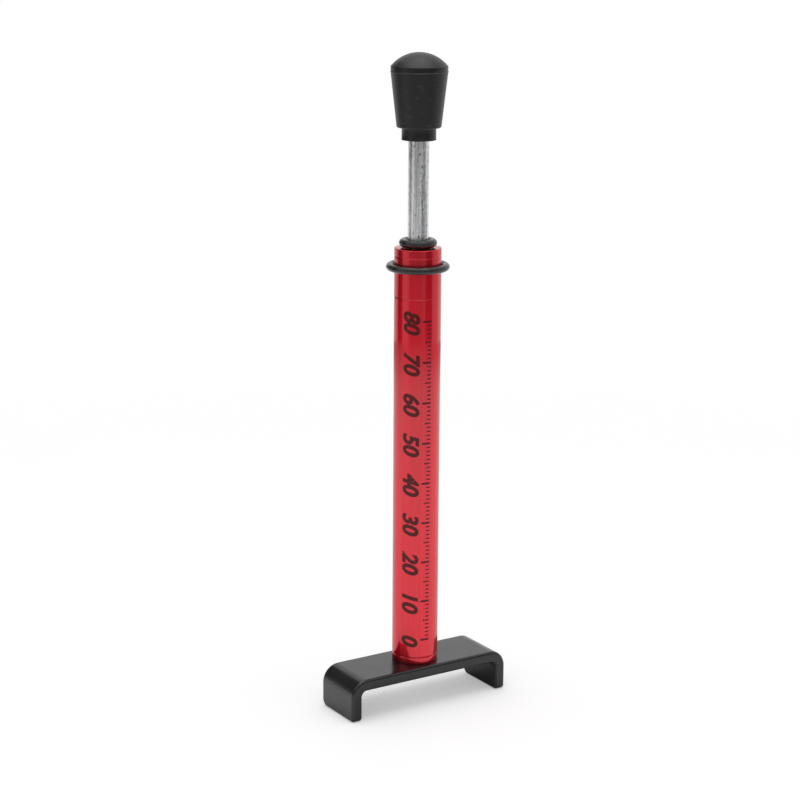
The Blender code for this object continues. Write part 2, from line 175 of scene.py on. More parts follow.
class Workpiece:
    """Mesh object that is shaped with Blender's own operators."""

    def __init__(self, name: str) -> None:
        """Take over the primitive that was just added, and put its place in its mesh."""
        self.obj = bpy.context.active_object
        self.obj.name = name
        self.obj.data.name = name
        bpy.ops.object.transform_apply(location=True, rotation=True, scale=True)

    @classmethod
    def turned(cls, name: str, corners: Sequence[Corner], is_ring: bool = False) -> "Workpiece":
        """Draw an outline by extruding a point, spin it round the axis and ease its corners.

        Args:
            name: The piece's name.
            corners: The outline. A solid's outline starts and ends on the axis.
            is_ring: Whether the outline runs back to its first corner.

        Returns:
            The turned piece.
        """
        start = Vector((corners[0].radius, 0.0, corners[0].height))
        bpy.ops.mesh.primitive_plane_add(size=MM, location=start)
        piece = cls(name)
        bpy.ops.object.mode_set(mode="EDIT")
        bpy.ops.mesh.select_mode(type="VERT")
        bpy.ops.mesh.merge(type="CENTER")
        for corner in [*corners[1:], corners[0]] if is_ring else corners[1:]:
            place = Vector((corner.radius, 0.0, corner.height))
            bpy.ops.mesh.extrude_vertices_move(TRANSFORM_OT_translate={"value": place - start})
            start = place
        bpy.ops.mesh.select_all(action="SELECT")
        bpy.ops.mesh.spin(steps=ROUND_STEPS, angle=2 * math.pi, center=(0, 0, 0), axis=(0, 0, 1))
        piece.close_seams()
        for corner in corners:
            if corner.ease > 0:
                piece.select(Element.EDGE, ring_at(corner.radius, corner.height))
                piece.bevel(corner.ease, corner.steps)
        bpy.ops.object.mode_set(mode="OBJECT")
        return piece

    def close_seams(self) -> None:
        """Merge doubled vertices and turn all faces outwards."""
        bpy.ops.mesh.select_all(action="SELECT")
        bpy.ops.mesh.remove_doubles(threshold=MERGE_DISTANCE)
        bpy.ops.mesh.normals_make_consistent(inside=False)

    def select(self, kind: Element, test: Test) -> None:
        """Select the elements whose points pass a test, and nothing else.

        Args:
            kind: What is selected.
            test: Tells from an element's points whether it is selected.
        """
        bpy.ops.object.mode_set(mode="EDIT")
        bpy.ops.mesh.select_mode(type=kind.value)
        bpy.ops.mesh.select_all(action="DESELECT")
        shape = bmesh.from_edit_mesh(self.obj.data)
        for element in shape.verts if kind is Element.VERT else shape.edges:
            points = [element.co] if kind is Element.VERT else [vert.co for vert in element.verts]
            if test(points):
                element.select_set(True)
        shape.select_flush_mode()
        bmesh.update_edit_mesh(self.obj.data)

    def bevel(self, width: float, steps: int, affect: str = "EDGES") -> None:
        """Bevel what is selected.

        Args:
            width: How much of each neighbouring face goes.
            steps: Number of steps across the bevel.
            affect: EDGES, or VERTICES for the corners of a sheet.
        """
        bpy.ops.mesh.bevel(offset=width, segments=steps, profile=0.5, affect=affect, offset_type="OFFSET")

    def activate(self) -> None:
        """Leave edit mode and select this piece alone."""
        bpy.ops.object.mode_set(mode="OBJECT")
        bpy.ops.object.select_all(action="DESELECT")
        self.obj.select_set(True)
        bpy.context.view_layer.objects.active = self.obj

    def join(self, others: Sequence[bpy.types.Object]) -> None:
        """Take other mesh objects into this one."""
        self.activate()
        for obj in others:
            obj.select_set(True)
        bpy.ops.object.join()

    def modify(self, kind: str, **settings: Any) -> None:
        """Add a modifier, set it and apply it.

        Args:
            kind: The modifier's type.
            settings: The modifier's own settings.
        """
        self.activate()
        modifier = self.obj.modifiers.new(kind.lower(), kind)
        for setting, value in settings.items():
            setattr(modifier, setting, value)
        bpy.ops.object.modifier_apply(modifier=modifier.name)

    def cut(self, cutter: "Workpiece") -> None:
        """Cut another workpiece's shape out of this one, and remove the other.

        Args:
            cutter: The shape that is cut out.
        """
        self.modify("BOOLEAN", operation="DIFFERENCE", solver="EXACT", object=cutter.obj)
        bpy.data.objects.remove(cutter.obj, do_unlink=True)

    def smooth(self) -> None:
        """Shade the round faces smooth, and let wide faces set the normals beside them."""
        self.activate()
        bpy.ops.object.shade_smooth_by_angle(angle=SMOOTH_ANGLE)
        self.modify("WEIGHTED_NORMAL", mode="FACE_AREA", weight=50, keep_sharp=True)

    def settle(self, palette: "Palette", body: Body, slot: Slot, *nodes: str, finish: Any = None) -> None:
        """Shade and dress the piece, and let it ride on its body in place of its CAD nodes.

        Args:
            palette: All finishes.
            body: The body it moves with.
            slot: The record's material slot of its finish.
            nodes: The CAD nodes that it stands for.
            finish: Its material, where it isn't the slot's own.
        """
        self.smooth()
        self.obj.data.materials.clear()
        self.obj.data.materials.append(finish or palette.slots[slot])
        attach(self.obj, body.value)
        if nodes:
            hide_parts(*nodes)
        LOG.info("%s: %d faces on body %s", self.obj.name, len(self.obj.data.polygons), body.value)


def sleeve(name: str, span: Span, bore: float, ease: float) -> Workpiece:
    """Turn a plain sleeve with eased outer edges.

    Args:
        name: The piece's name.
        span: Its outer radius and its heights.
        bore: Its inner radius.
        ease: Width cut off its outer edges.

    Returns:
        The sleeve.
    """
    corners = [
        Corner(span.radius, span.high, ease),
        Corner(span.radius, span.low, ease),
        Corner(bore, span.low),
        Corner(bore, span.high),
    ]
    return Workpiece.turned(name, corners, is_ring=True)


def box_cutter(name: str, centre: Sequence[float], size: Sequence[float]) -> Workpiece:
    """Make a box that is cut out of a piece.

    Args:
        name: The cutter's name.
        centre: Its centre.
        size: Its three widths.

    Returns:
        The cutter.
    """
    bpy.ops.mesh.primitive_cube_add(size=1.0, location=centre, scale=size)
    return Workpiece(name)


class Graph:
    """Adds nodes to a node tree and links them."""

    def __init__(self, tree: bpy.types.NodeTree) -> None:
        """Keep the tree that the nodes go into."""
        self.tree = tree

    def add(self, kind: str, inputs: dict[str | int, Any] | None = None, **settings: Any) -> bpy.types.Node:
        """Add a node, and set or link its inputs.

        Args:
            kind: The node's type, without its ShaderNode prefix.
            inputs: A value or an output socket for each input, by name or number.
            settings: The node's own options.

        Returns:
            The new node.
        """
        node = self.tree.nodes.new("ShaderNode" + kind)
        for option, value in settings.items():
            setattr(node, option, value)
        for key, value in (inputs or {}).items():
            if isinstance(value, bpy.types.NodeSocket):
                self.tree.links.new(value, node.inputs[key])
            else:
                node.inputs[key].default_value = value
        return node

    def calc(self, operation: str, *operands: Any) -> bpy.types.NodeSocket:
        """Add a Math node and return its result."""
        return self.add("Math", dict(enumerate(operands)), operation=operation).outputs[0]

    def spread(self, value: Any, low: float, high: float, start: float = 0.0, end: float = 1.0) -> Any:
        """Map a value smoothly from one range to another.

        Args:
            value: The socket that is mapped.
            low: Where the source range starts.
            high: Where it ends.
            start: The result at low.
            end: The result at high.

        Returns:
            The result's socket.
        """
        inputs = {"Value": value, "From Min": low, "From Max": high, "To Min": start, "To Max": end}
        return self.add("MapRange", inputs, interpolation_type="SMOOTHSTEP").outputs["Result"]

    def blend(self, mask: Any, first: Any, second: Any) -> bpy.types.NodeSocket:
        """Mix two colours by a mask.

        Args:
            mask: How much of the second colour shows.
            first: Colour or socket where the mask is 0.
            second: Colour or socket where it is 1.

        Returns:
            The mixed colour's socket.
        """
        inputs = {0: mask, 6: as_rgba(first), 7: as_rgba(second)}
        return self.add("Mix", inputs, data_type="RGBA").outputs[2]


def bare_graph(owner: Any) -> Graph:
    """Give a material or a world an empty node tree and return its graph."""
    owner.use_nodes = True
    graph = Graph(owner.node_tree)
    graph.tree.nodes.clear()
    return graph


def as_rgba(color: Any) -> Any:
    """Give a colour its alpha, and leave a socket as it is."""
    return (*color, 1.0) if isinstance(color, tuple) and len(color) == 3 else color


class Effects:
    """Shader node groups that the finishes share. Each is built once."""

    def __init__(self) -> None:
        """Build all groups."""
        self.grain = self.stretched_grain()
        self.marks = self.turning_marks()
        self.specks = self.speck_mask()

    @staticmethod
    def begin(name: str, numbers: dict[str, float], output: str) -> tuple[Graph, Any, Any]:
        """Start a node group with a vector input, number inputs and one output.

        Args:
            name: The group's name.
            numbers: Its number inputs and their default values.
            output: Its output's name.

        Returns:
            The group's graph, its input sockets and its output node.
        """
        tree = bpy.data.node_groups.new(name, "ShaderNodeTree")
        tree.interface.new_socket("Vector", in_out="INPUT", socket_type="NodeSocketVector")
        for number, value in numbers.items():
            socket = tree.interface.new_socket(number, in_out="INPUT", socket_type="NodeSocketFloat")
            socket.default_value = value
        tree.interface.new_socket(output, in_out="OUTPUT", socket_type="NodeSocketFloat")
        inputs = tree.nodes.new("NodeGroupInput").outputs
        return Graph(tree), inputs, tree.nodes.new("NodeGroupOutput")

    def stretched_grain(self) -> bpy.types.NodeTree:
        """Build noise whose grain has one size across the axis and another along it."""
        numbers = {"Across": 1000.0, "Along": 1000.0, "Detail": 3.0, "Low": 0.35, "High": 0.65}
        graph, inputs, result = self.begin("stretched_grain", numbers, "Value")
        scale = graph.add("CombineXYZ", {0: inputs["Across"], 1: inputs["Across"], 2: inputs["Along"]})
        place = graph.add("VectorMath", {0: inputs["Vector"], 1: scale.outputs[0]}, operation="MULTIPLY")
        noise = graph.add("TexNoise", {"Vector": place.outputs[0], "Scale": 1.0, "Detail": inputs["Detail"]})
        value = graph.spread(noise.outputs[0], inputs["Low"], inputs["High"])
        graph.tree.links.new(value, result.inputs["Value"])
        return graph.tree

    def turning_marks(self) -> bpy.types.NodeTree:
        """Build rings that a lathe leaves: noise that depends on radius and height alone."""
        graph, inputs, result = self.begin("turning_marks", {"Scale": 4000.0}, "Height")
        axes = graph.add("SeparateXYZ", {0: inputs["Vector"]})
        flat = graph.add("CombineXYZ", {0: axes.outputs["X"], 1: axes.outputs["Y"]})
        radius = graph.add("VectorMath", {0: flat.outputs[0]}, operation="LENGTH").outputs["Value"]
        place = graph.add("CombineXYZ", {0: radius, 1: axes.outputs["Z"]})
        noise = graph.add("TexNoise", {"Vector": place.outputs[0], "Scale": inputs["Scale"], "Detail": 2.0})
        graph.tree.links.new(noise.outputs[0], result.inputs["Height"])
        return graph.tree

    def speck_mask(self) -> bpy.types.NodeTree:
        """Build sparse round specks of unlike sizes, such as dust."""
        graph, inputs, result = self.begin("speck_mask", {"Scale": 900.0, "Share": 0.1}, "Mask")
        cells = graph.add("TexVoronoi", {"Vector": inputs["Vector"], "Scale": inputs["Scale"]})
        chance = graph.add("SeparateXYZ", {0: cells.outputs["Color"]})
        room = graph.calc("SUBTRACT", inputs["Share"], chance.outputs["X"])
        reach = graph.calc("MULTIPLY", room, SPECK_REACH)
        edge = graph.calc("SUBTRACT", reach, cells.outputs["Distance"])
        mask = graph.spread(edge, 0.0, SPECK_EDGE)
        graph.tree.links.new(mask, result.inputs["Mask"])
        return graph.tree


@dataclass(frozen=True)
class Grain:
    """Noise of one fineness across the axis and another along it, spread from low to high."""

    across: float
    along: float
    low: float = 0.3
    high: float = 0.7
    detail: float = 3.0


class Finish:
    """Start of a finish: a material with its Principled shader and object coordinates."""

    def __init__(self, name: str, effects: Effects) -> None:
        """Make the material and the nodes that every finish has."""
        self.material = bpy.data.materials.new(name)
        self.material.use_nodes = True
        self.effects = effects
        self.graph = Graph(self.material.node_tree)
        self.shader = self.material.node_tree.nodes["Principled BSDF"]
        self.place = self.graph.add("TexCoord").outputs["Object"]

    def constants(self, **values: Any) -> None:
        """Set shader sockets that are the same all over, named in lower case with underscores."""
        for name, value in values.items():
            self.shader.inputs[name.replace("_", " ").title().replace("Ior", "IOR")].default_value = value

    def feed(self, socket: str, value: Any) -> None:
        """Link a varying value to one of the shader's sockets."""
        self.graph.tree.links.new(value, self.shader.inputs[socket])

    def effect(self, tree: bpy.types.NodeTree, **numbers: float) -> bpy.types.NodeSocket:
        """Place a shared effect with its own numbers, and return its only output."""
        node = self.graph.add("Group", node_tree=tree)
        self.graph.tree.links.new(self.place, node.inputs["Vector"])
        for name, value in numbers.items():
            node.inputs[name.title()].default_value = value
        return node.outputs[0]

    def grain(self, grain: Grain) -> bpy.types.NodeSocket:
        """Place a grain and return its value from 0 to 1."""
        return self.effect(self.effects.grain, **asdict(grain))

    def color(self, mask: Any, first: Any, second: Any) -> None:
        """Blend the base colour from the first to the second by a mask."""
        self.feed("Base Color", self.graph.blend(mask, first, second))

    def roughness(self, mask: Any, low: float, high: float) -> None:
        """Let the roughness go from low to high with a mask."""
        self.feed("Roughness", self.graph.spread(mask, 0.0, 1.0, low, high))

    def bump(self, height: Any, depth: float) -> None:
        """Raise the surface by a height that is depth at most.

        Args:
            height: Socket from 0 to 1.
            depth: Real height in metres.
        """
        node = self.graph.add("Bump", {"Height": height, "Distance": depth, "Strength": 1.0})
        self.feed("Normal", node.outputs[0])


@dataclass(frozen=True)
class RedAnodising:
    """Clear sealed layer over dyed aluminium, with lengthwise draw marks and a little dust."""

    name: str = "red_anodising"
    dye: Color = (0.72, 0.009, 0.027)
    deep_dye: Color = (0.64, 0.007, 0.022)
    grazing: Color = (0.3, 0.2, 0.2)
    dust: Color = (0.75, 0.35, 0.36)
    draw_marks: Grain = Grain(across=1400.0, along=25.0)
    fine_grain: Grain = Grain(across=3500.0, along=3500.0)
    dust_scale: float = 700.0
    dust_share: float = 0.035
    lathe_marks: float = 5000.0
    relief: float = 0.0008 * MM
    roughness: tuple[float, float] = (0.34, 0.42)
    dusty_coat: float = 0.3
    coat_roughness: float = 0.05
    coat_ior: float = 1.5

    def make(self, effects: Effects) -> bpy.types.Material:
        """Build the material from the shared effects."""
        finish = Finish(self.name, effects)
        graph = finish.graph
        draw = finish.grain(self.draw_marks)
        fine = finish.grain(self.fine_grain)
        specks = finish.effect(effects.specks, scale=self.dust_scale, share=self.dust_share)
        finish.color(specks, graph.blend(draw, self.dye, self.deep_dye), self.dust)
        finish.roughness(fine, *self.roughness)
        finish.feed("Coat Weight", graph.spread(specks, 0.0, 1.0, 1.0, self.dusty_coat))
        finish.bump(finish.effect(effects.marks, scale=self.lathe_marks), self.relief)
        finish.constants(metallic=1.0, specular_tint=as_rgba(self.grazing))
        finish.constants(coat_roughness=self.coat_roughness, coat_ior=self.coat_ior)
        return finish.material


@dataclass(frozen=True)
class BlackPaint:
    """Glossy black paint on sheet steel, with a slight orange peel."""

    name: str = "black_paint"
    paint: Color = (0.0085, 0.0085, 0.009)
    pale: Color = (0.035, 0.035, 0.036)
    cloud: Grain = Grain(across=250.0, along=250.0)
    peel: Grain = Grain(across=900.0, along=900.0, low=0.2, high=0.8, detail=1.0)
    speck_scale: float = 600.0
    speck_share: float = 0.05
    relief: float = 0.004 * MM
    roughness: tuple[float, float] = (0.17, 0.25)

    def make(self, effects: Effects) -> bpy.types.Material:
        """Build the material from the shared effects."""
        finish = Finish(self.name, effects)
        cloud = finish.grain(self.cloud)
        peel = finish.grain(self.peel)
        specks = finish.effect(effects.specks, scale=self.speck_scale, share=self.speck_share)
        finish.color(specks, self.paint, self.pale)
        finish.roughness(cloud, *self.roughness)
        finish.bump(peel, self.relief)
        return finish.material


@dataclass(frozen=True)
class ZincPlate:
    """Zinc plated steel: mottled, with streaks and dark pits along its length."""

    name: str = "zinc_plate"
    bright: Color = (0.82, 0.83, 0.84)
    dull: Color = (0.36, 0.36, 0.37)
    dark: Color = (0.16, 0.16, 0.16)
    streaks: Grain = Grain(across=2100.0, along=45.0, low=0.42, high=0.6)
    mottle: Grain = Grain(across=2600.0, along=1100.0, low=0.35)
    pits: Grain = Grain(across=2400.0, along=800.0, low=0.66, high=0.72, detail=1.0)
    faint_streaks: float = 0.45
    relief: float = 0.004 * MM
    roughness: tuple[float, float] = (0.3, 0.44)

    def make(self, effects: Effects) -> bpy.types.Material:
        """Build the material from the shared effects."""
        finish = Finish(self.name, effects)
        graph = finish.graph
        streaks = finish.grain(self.streaks)
        mottle = finish.grain(self.mottle)
        pits = finish.grain(self.pits)
        cloudy = graph.calc("MULTIPLY", streaks, graph.spread(mottle, 0.0, 1.0, self.faint_streaks, 1.0))
        finish.color(pits, graph.blend(cloudy, self.bright, self.dull), self.dark)
        finish.roughness(mottle, *self.roughness)
        finish.bump(mottle, self.relief)
        finish.constants(metallic=1.0)
        return finish.material


@dataclass(frozen=True)
class MouldedPlastic:
    """Black moulded plastic with a fine satin grain and faint pale scuffs."""

    name: str = "black_plastic"
    plastic: Color = (0.007, 0.007, 0.0078)
    scuff: Color = (0.025, 0.025, 0.027)
    satin: Grain = Grain(across=3000.0, along=3000.0)
    scuffs: Grain = Grain(across=500.0, along=1600.0, low=0.6, high=0.72, detail=4.0)
    relief: float = 0.002 * MM
    roughness: tuple[float, float] = (0.36, 0.46)
    gloss: float = 0.4

    def make(self, effects: Effects) -> bpy.types.Material:
        """Build the material from the shared effects."""
        finish = Finish(self.name, effects)
        satin = finish.grain(self.satin)
        finish.color(finish.grain(self.scuffs), self.plastic, self.scuff)
        finish.roughness(satin, *self.roughness)
        finish.bump(satin, self.relief)
        finish.constants(specular_ior_level=self.gloss)
        return finish.material


@dataclass(frozen=True)
class PlainFinish:
    """Two near colours and a roughness that follow one grain."""

    name: str
    main: Color
    second: Color
    grain: Grain
    roughness: tuple[float, float]
    relief: float = 0.0
    lathe_marks: float = 0.0
    metallic: float = 0.0
    gloss: float = 0.5

    def make(self, effects: Effects) -> bpy.types.Material:
        """Build the material. Its relief follows the lathe marks, or the grain where it has none."""
        finish = Finish(self.name, effects)
        grain = finish.grain(self.grain)
        finish.color(grain, self.main, self.second)
        finish.roughness(grain, *self.roughness)
        if self.lathe_marks:
            finish.bump(finish.effect(effects.marks, scale=self.lathe_marks), self.relief)
        elif self.relief:
            finish.bump(grain, self.relief)
        finish.constants(metallic=self.metallic, specular_ior_level=self.gloss)
        return finish.material


@dataclass(frozen=True)
class Rubber(PlainFinish):
    """Black nitrile rubber with a fine dusty grain."""

    name: str = "rubber"
    main: Color = (0.009, 0.009, 0.009)
    second: Color = (0.024, 0.026, 0.023)
    grain: Grain = Grain(across=2600.0, along=2600.0, low=0.45)
    roughness: tuple[float, float] = (0.22, 0.4)
    relief: float = 0.0025 * MM


@dataclass(frozen=True)
class PrintInk(PlainFinish):
    """Dark ink on the barrel, a little worn so that the red shows through in specks."""

    name: str = "print_ink"
    main: Color = (0.1, 0.006, 0.006)
    second: Color = (0.2, 0.02, 0.025)
    grain: Grain = Grain(across=2200.0, along=2200.0, low=0.58, high=0.75)
    roughness: tuple[float, float] = (0.22, 0.36)
    gloss: float = 0.25


@dataclass(frozen=True)
class BareMetal(PlainFinish):
    """Turned or drawn bare metal: brass and spring steel."""

    grain: Grain = Grain(across=900.0, along=900.0, high=0.75)
    roughness: tuple[float, float] = (0.3, 0.4)
    relief: float = 0.002 * MM
    lathe_marks: float = 6000.0
    metallic: float = 1.0


@dataclass(frozen=True)
class Acetal(PlainFinish):
    """Off-white turned plastic."""

    name: str = "acetal"
    main: Color = (0.75, 0.74, 0.7)
    second: Color = (0.62, 0.6, 0.54)
    grain: Grain = Grain(across=500.0, along=500.0, low=0.4, high=0.8)
    roughness: tuple[float, float] = (0.4, 0.5)
    relief: float = 0.004 * MM
    lathe_marks: float = 4000.0


class Palette:
    """All finishes of the gauge, by the record's slot, and the ink."""

    def __init__(self) -> None:
        """Make the shared effects and then every finish."""
        effects = Effects()
        self.ink = PrintInk().make(effects)
        finishes = {
            Slot.BLACK_PAINT: BlackPaint(),
            Slot.RED_ANODISING: RedAnodising(),
            Slot.ZINC_PLATE: ZincPlate(),
            Slot.SPRING_STEEL: BareMetal("spring_steel", (0.4, 0.4, 0.41), (0.25, 0.25, 0.26)),
            Slot.BRASS: BareMetal("brass", (0.75, 0.53, 0.2), (0.55, 0.38, 0.14)),
            Slot.ACETAL: Acetal(),
            Slot.BLACK_PLASTIC: MouldedPlastic(),
            Slot.RUBBER: Rubber(),
        }
        self.slots = {slot: finish.make(effects) for slot, finish in finishes.items()}


@dataclass
class BeltCradle:
    """Strip of sheet bent over the belt, and the countersunk screw that holds it."""

    sheet: float = 2.9 * MM
    outer_bend: float = 4.3 * MM
    bend_steps: int = 12
    front_corner: float = 0.9 * MM
    back_corner: float = 1.8 * MM
    corner_steps: int = 6
    edge_round: float = 0.7 * MM
    edge_steps: int = 5
    screw_shank: float = 2.0 * MM
    shank_edge: float = 0.5 * MM
    head_edge: float = 0.15 * MM
    socket_radius: float = 1.445 * MM
    socket_depth: float = 1.4 * MM
    gap: float = 0.2 * MM

    def build(self, palette: Palette) -> None:
        """Model both pieces and dress them."""
        self.build_cradle().settle(palette, Body.BODY, Slot.BLACK_PAINT, "belt_cradle")
        self.build_screw().settle(palette, Body.BODY, Slot.ZINC_PLATE, "cradle_screw")

    def build_cradle(self) -> Workpiece:
        """Bend a sheet by extruding its ends down, then give it its thickness.

        Returns:
            The cradle.
        """
        low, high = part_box("belt_cradle")
        length = high.x - low.x
        bpy.ops.mesh.primitive_plane_add(size=length, location=(0.0, 0.0, high.z))
        piece = Workpiece("cradle_strip")
        bpy.ops.object.mode_set(mode="EDIT")
        bpy.ops.mesh.select_all(action="SELECT")
        bpy.ops.transform.resize(value=(1.0, (high.y - low.y) / length, 1.0))
        for side in (low.x, high.x):
            piece.select(
                Element.EDGE, lambda points, x=side: all(abs(p.x - x) < SAME_PLACE for p in points)
            )
            bpy.ops.mesh.extrude_region_move(
                TRANSFORM_OT_translate={"value": (0.0, 0.0, low.z - high.z)}
            )
        piece.select(
            Element.EDGE,
            lambda points: all(
                abs(abs(p.x) - length / 2) < SAME_PLACE and abs(p.z - high.z) < SAME_PLACE for p in points
            ),
        )
        piece.bevel(self.outer_bend, self.bend_steps)
        for y, radius in ((low.y, self.front_corner), (high.y, self.back_corner)):
            piece.select(
                Element.VERT,
                lambda points, y=y: points[0].z < low.z + SAME_PLACE and abs(points[0].y - y) < SAME_PLACE,
            )
            piece.bevel(radius, self.corner_steps, affect="VERTICES")
        bpy.ops.mesh.select_all(action="SELECT")
        bpy.ops.mesh.normals_make_consistent(inside=False)
        piece.modify("SOLIDIFY", thickness=self.sheet, offset=-1.0, use_even_offset=True)
        piece.modify(
            "BEVEL",
            width=self.edge_round,
            segments=self.edge_steps,
            limit_method="ANGLE",
            angle_limit=SHARP_ANGLE,
        )
        piece.cut(self.screw_hole(high.z - self.sheet, high.z))
        return piece

    def screw_hole(self, underside: float, top: float) -> Workpiece:
        """Turn the shape of the countersunk hole.

        Args:
            underside: Height of the sheet's underside.
            top: Height of its top.

        Returns:
            The cutter.
        """
        screw = Span.of("cradle_screw")
        shank = self.screw_shank + self.gap
        head = screw.radius + self.gap
        return Workpiece.turned(
            "screw_hole",
            [
                Corner(0.0, top + MM),
                Corner(shank, top + MM),
                Corner(shank, underside + self.gap + head - shank),
                Corner(head, underside + self.gap),
                Corner(head + self.gap, underside - MM),
                Corner(0.0, underside - MM),
            ],
        )

    def build_screw(self) -> Workpiece:
        """Turn the screw and cut its hexagon socket.

        Returns:
            The screw.
        """
        span = Span.of("cradle_screw")
        shank = self.screw_shank
        piece = Workpiece.turned(
            "cradle_screw_turned",
            [
                Corner(0.0, span.high),
                Corner(shank, span.high, self.shank_edge),
                Corner(shank, span.low + span.radius - shank),
                Corner(span.radius, span.low, self.head_edge, 3),
                Corner(0.0, span.low),
            ],
        )
        bpy.ops.mesh.primitive_cylinder_add(
            vertices=6, radius=self.socket_radius, depth=2 * self.socket_depth, location=(0, 0, span.low)
        )
        piece.cut(Workpiece("hex_socket"))
        return piece


@dataclass
class Barrel:
    """Red tube with its plug, its cap and the guide bush."""

    wall: float = 1.2 * MM
    gap: float = 0.2 * MM
    touching: float = 0.02 * MM
    edge: float = 0.15 * MM
    seam_depth: float = 0.11 * MM
    seam_height: float = 0.26 * MM
    seam_ease: float = 0.025 * MM
    collar_share: float = 0.6
    skirt_edge: float = 0.06 * MM
    bush_wall: float = 0.6 * MM
    spigot_edge: float = 0.3 * MM
    running_gap: float = 0.15 * MM
    screw_hole_radius: float = 2.2 * MM
    screw_hole_depth: float = 6.2 * MM
    rim: float = 0.16 * MM
    line_drops: tuple[float, ...] = (0.9 * MM, 2.0 * MM, 3.1 * MM)
    line_widths: tuple[float, ...] = (0.1 * MM, 0.26 * MM, 0.1 * MM)
    line_depths: tuple[float, ...] = (0.02 * MM, 0.13 * MM, 0.03 * MM)

    def build(self, palette: Palette) -> None:
        """Model the pieces and dress them."""
        self.build_tube().settle(palette, Body.BODY, Slot.RED_ANODISING, "barrel")
        self.build_plug().settle(palette, Body.BODY, Slot.RED_ANODISING, "bottom_plug")
        self.build_cap().settle(palette, Body.BODY, Slot.RED_ANODISING, "barrel_cap")
        span = Span.of("guide_bush")
        bush = sleeve("bush_turned", span, span.radius - self.bush_wall, self.edge)
        bush.settle(palette, Body.BODY, Slot.BRASS, "guide_bush")

    def build_tube(self) -> Workpiece:
        """Turn the tube, its outer edges eased.

        Returns:
            The tube.
        """
        span = Span.of("barrel")
        bore = span.radius - self.wall
        corners = [
            Corner(span.radius - self.seam_depth, span.high),
            Corner(span.radius, span.high - self.seam_height, self.seam_ease),
            Corner(span.radius, span.low, self.edge, 2),
            Corner(bore, span.low),
            Corner(bore, span.high),
        ]
        return Workpiece.turned("barrel_tube", corners, is_ring=True)

    def build_plug(self) -> Workpiece:
        """Turn the plug. Its collar reaches almost to the tube and to the cradle.

        Returns:
            The plug.
        """
        span = Span.of("bottom_plug")
        spigot = span.radius - self.wall - self.gap
        collar_top = Span.of("barrel").low - self.touching
        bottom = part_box("belt_cradle")[1].z + self.touching
        corners = [
            Corner(0.0, span.high),
            Corner(spigot, span.high, self.spigot_edge),
            Corner(spigot, collar_top),
            Corner(span.radius - self.collar_share * self.seam_depth, collar_top),
            Corner(span.radius, collar_top - self.collar_share * self.seam_height, self.seam_ease),
            Corner(span.radius, bottom, self.edge, 2),
            Corner(self.screw_hole_radius, bottom),
            Corner(self.screw_hole_radius, span.low + self.screw_hole_depth),
            Corner(0.0, span.low + self.screw_hole_depth),
        ]
        return Workpiece.turned("plug_collar", corners)

    def build_cap(self) -> Workpiece:
        """Turn the cap, with the fine lines round it and the seat for the bush.

        Returns:
            The cap.
        """
        span = Span.of("barrel_cap")
        bush = Span.of("guide_bush")
        low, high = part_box("plunger_rod")
        rod_bore = (high.x - low.x) / 2 + self.running_gap
        spigot = span.radius - self.wall - self.gap
        skirt = Span.of("barrel").high + self.touching
        corners = [Corner(span.radius, span.high, self.rim, 3)]
        for drop, width, depth in zip(self.line_drops, self.line_widths, self.line_depths):
            corners += [
                Corner(span.radius, span.high - drop + width / 2),
                Corner(span.radius - depth, span.high - drop + width / 2),
                Corner(span.radius, span.high - drop - width / 2),
            ]
        corners += [
            Corner(span.radius, skirt, self.skirt_edge),
            Corner(spigot, skirt),
            Corner(spigot, span.low),
            Corner(rod_bore, span.low),
            Corner(rod_bore, bush.low - self.gap),
            Corner(bush.radius + self.gap, bush.low - self.gap),
            Corner(bush.radius + self.gap, span.high),
        ]
        return Workpiece.turned("cap_turned", corners, is_ring=True)


